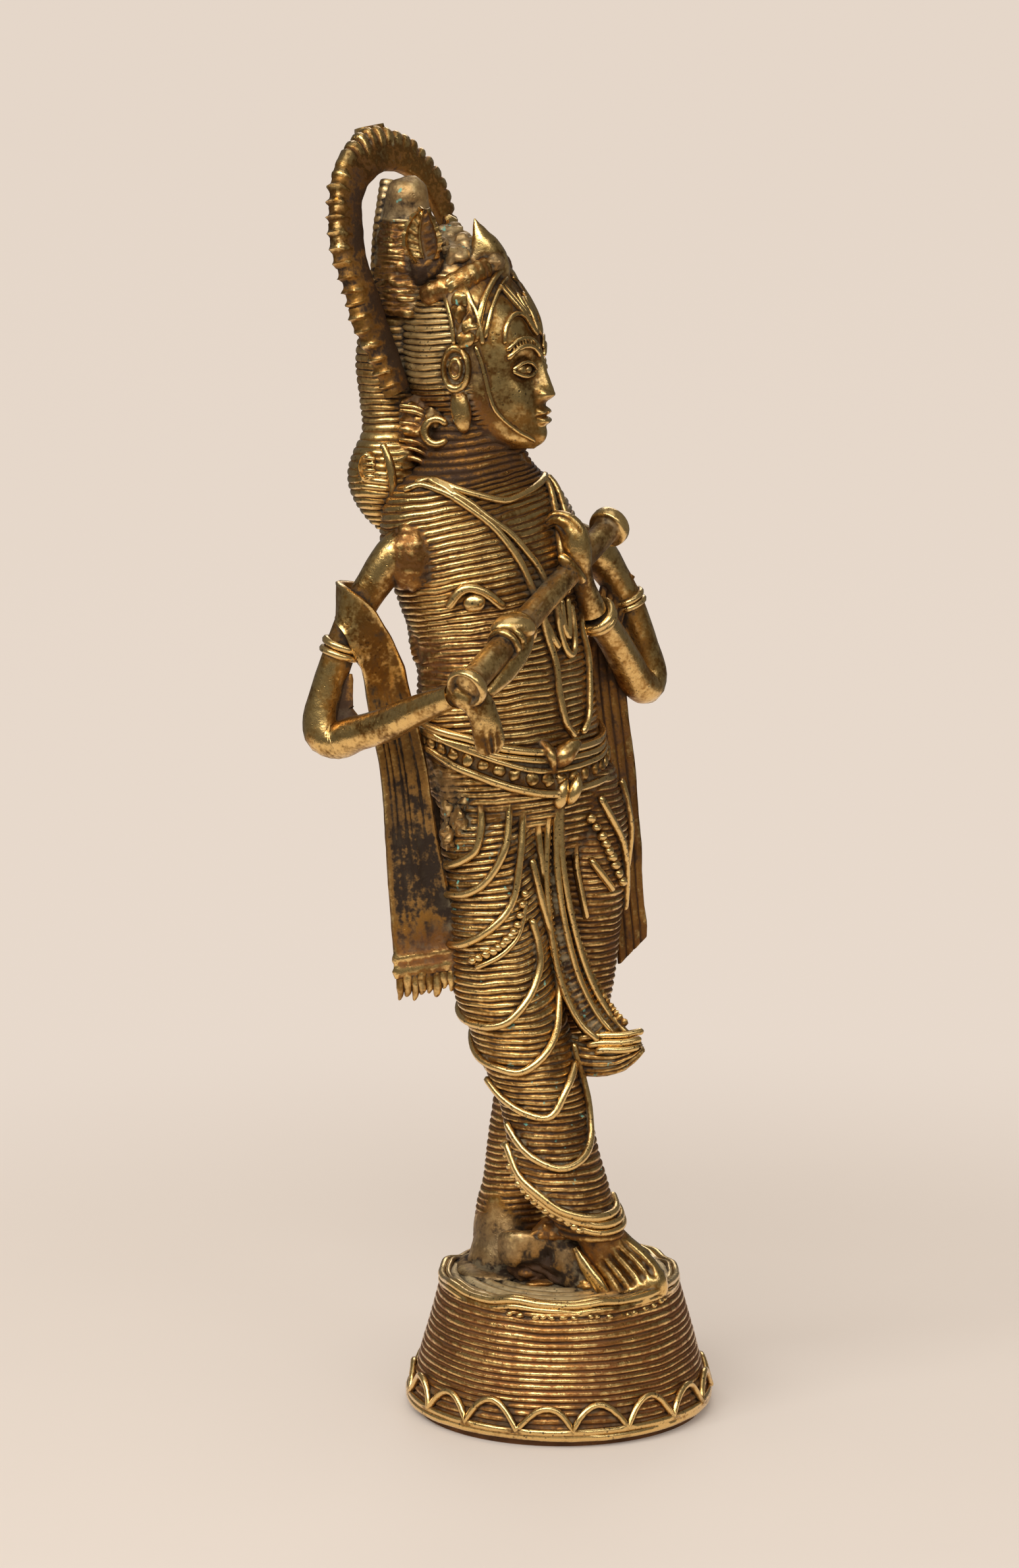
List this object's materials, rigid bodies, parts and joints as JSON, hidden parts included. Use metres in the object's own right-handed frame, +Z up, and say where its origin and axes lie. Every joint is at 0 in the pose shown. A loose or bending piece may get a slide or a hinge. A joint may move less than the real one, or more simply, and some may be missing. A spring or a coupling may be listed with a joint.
{
  "type": "krishna figure",
  "caption": "Cast brass figure of Krishna with a flute, one leg crossed in front of the other, notched halo and hanging sashes, on a round thread-ribbed plinth cast with it.",
  "frame": {"origin": "centre of the plinth's flat underside", "axes": "+Z up; the figure's chest faces -Y and its right side is toward -X"},
  "size_m": [0.0578, 0.0452, 0.184],
  "materials": {
    "aged_brass": "aged: brown-black in the grooves, worn bright on the ridges and smooth limbs"
  },
  "bodies": {
    "root": {"krishna_figure": "aged_brass"}
  },
  "joints": []
}
